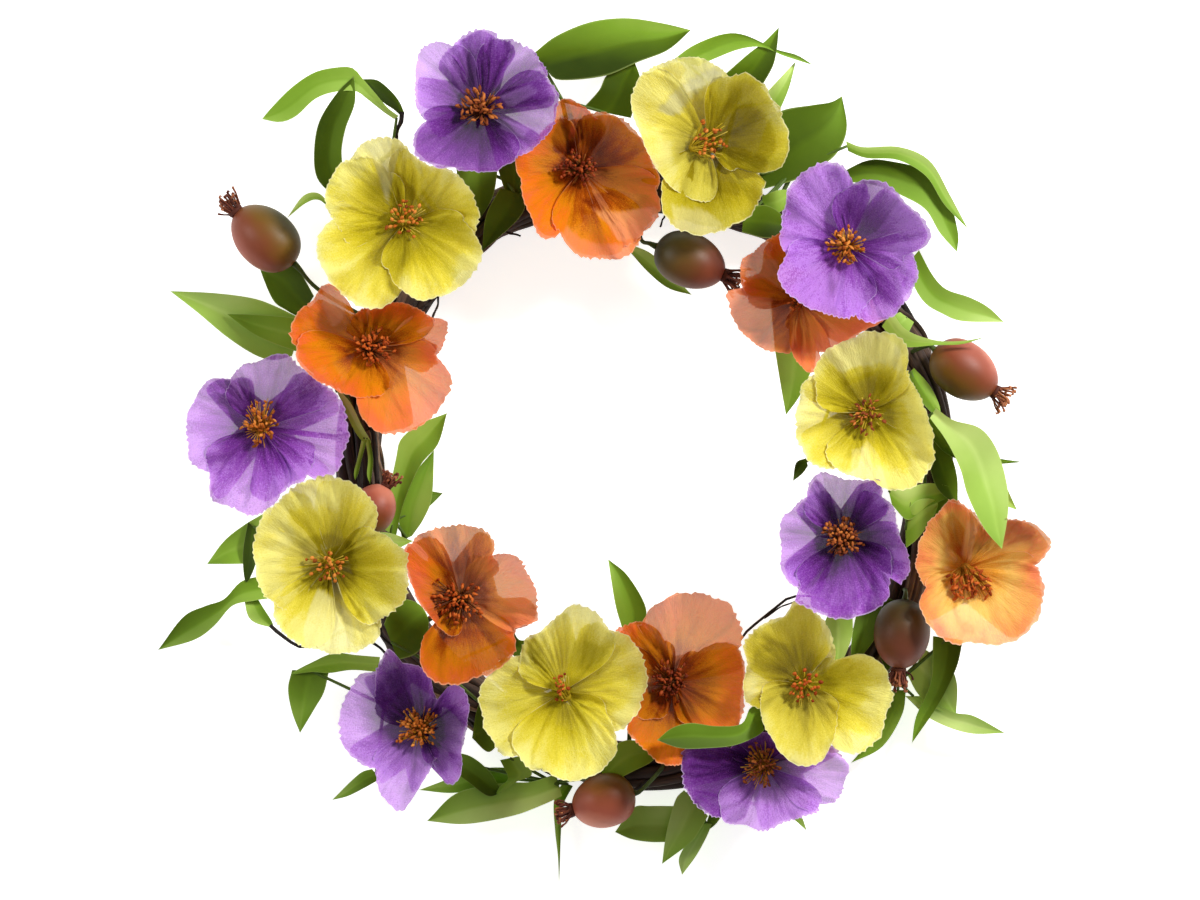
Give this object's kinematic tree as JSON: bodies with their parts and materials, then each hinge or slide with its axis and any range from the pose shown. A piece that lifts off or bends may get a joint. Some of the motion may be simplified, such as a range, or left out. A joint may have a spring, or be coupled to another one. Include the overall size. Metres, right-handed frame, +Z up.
{
  "type": "poppy wreath",
  "caption": "Round wreath of artificial poppies, rose hips and leaves wired to a ring of twisted vine, lying face up on the back of the ring.",
  "frame": {"origin": "middle of the footprint, on the surface the back of the vine ring lies on", "axes": "+Z up out of the flowers, +Y towards the top of the wreath as it is hung, +X to its right as seen from the front"},
  "size_m": [0.5527, 0.5391, 0.1081],
  "materials": {
    "vine_bark": "dry brown bark",
    "petal_purple": "thin dyed cloth, matt",
    "petal_yellow": "thin dyed cloth, matt",
    "petal_orange": "thin dyed cloth, matt",
    "stamens": "stiffened thread with coated tips",
    "rose_hip": "satin, brown red to olive",
    "leaf": "soft foam sheet, matt"
  },
  "bodies": {
    "root": {"vine_ring": "vine_bark", "poppy_purple_1_petals": "petal_purple", "poppy_purple_1_stamens": "stamens", "poppy_purple_2_petals": "petal_purple", "poppy_purple_2_stamens": "stamens", "poppy_purple_3_petals": "petal_purple", "poppy_purple_3_stamens": "stamens", "poppy_purple_4_petals": "petal_purple", "poppy_purple_4_stamens": "stamens", "poppy_purple_5_petals": "petal_purple", "poppy_purple_5_stamens": "stamens", "poppy_purple_6_petals": "petal_purple", "poppy_purple_6_stamens": "stamens", "poppy_yellow_1_petals": "petal_yellow", "poppy_yellow_1_stamens": "stamens", "poppy_yellow_2_petals": "petal_yellow", "poppy_yellow_2_stamens": "stamens", "poppy_yellow_3_petals": "petal_yellow", "poppy_yellow_3_stamens": "stamens", "poppy_yellow_4_petals": "petal_yellow", "poppy_yellow_4_stamens": "stamens", "poppy_yellow_5_petals": "petal_yellow", "poppy_yellow_5_stamens": "stamens", "poppy_yellow_6_petals": "petal_yellow", "poppy_yellow_6_stamens": "stamens", "poppy_orange_1_petals": "petal_orange", "poppy_orange_1_stamens": "stamens", "poppy_orange_2_petals": "petal_orange", "poppy_orange_2_stamens": "stamens", "poppy_orange_3_petals": "petal_orange", "poppy_orange_3_stamens": "stamens", "poppy_orange_4_petals": "petal_orange", "poppy_orange_4_stamens": "stamens", "poppy_orange_5_petals": "petal_orange", "poppy_orange_5_stamens": "stamens", "poppy_orange_6_petals": "petal_orange", "poppy_orange_6_stamens": "stamens", "rose_hip_1": "rose_hip", "rose_hip_2": "rose_hip", "rose_hip_3": "rose_hip", "rose_hip_4": "rose_hip", "rose_hip_5": "rose_hip", "rose_hip_6": "rose_hip", "leaf_sprig_01": "leaf", "leaf_sprig_02": "leaf", "leaf_sprig_03": "leaf", "leaf_sprig_04": "leaf", "leaf_sprig_05": "leaf", "leaf_sprig_06": "leaf", "leaf_sprig_07": "leaf", "leaf_sprig_08": "leaf", "leaf_sprig_09": "leaf", "leaf_sprig_10": "leaf", "leaf_sprig_11": "leaf", "leaf_sprig_12": "leaf", "leaf_sprig_13": "leaf", "leaf_sprig_14": "leaf", "leaf_sprig_15": "leaf", "leaf_sprig_16": "leaf", "leaf_sprig_17": "leaf"}
  },
  "joints": []
}
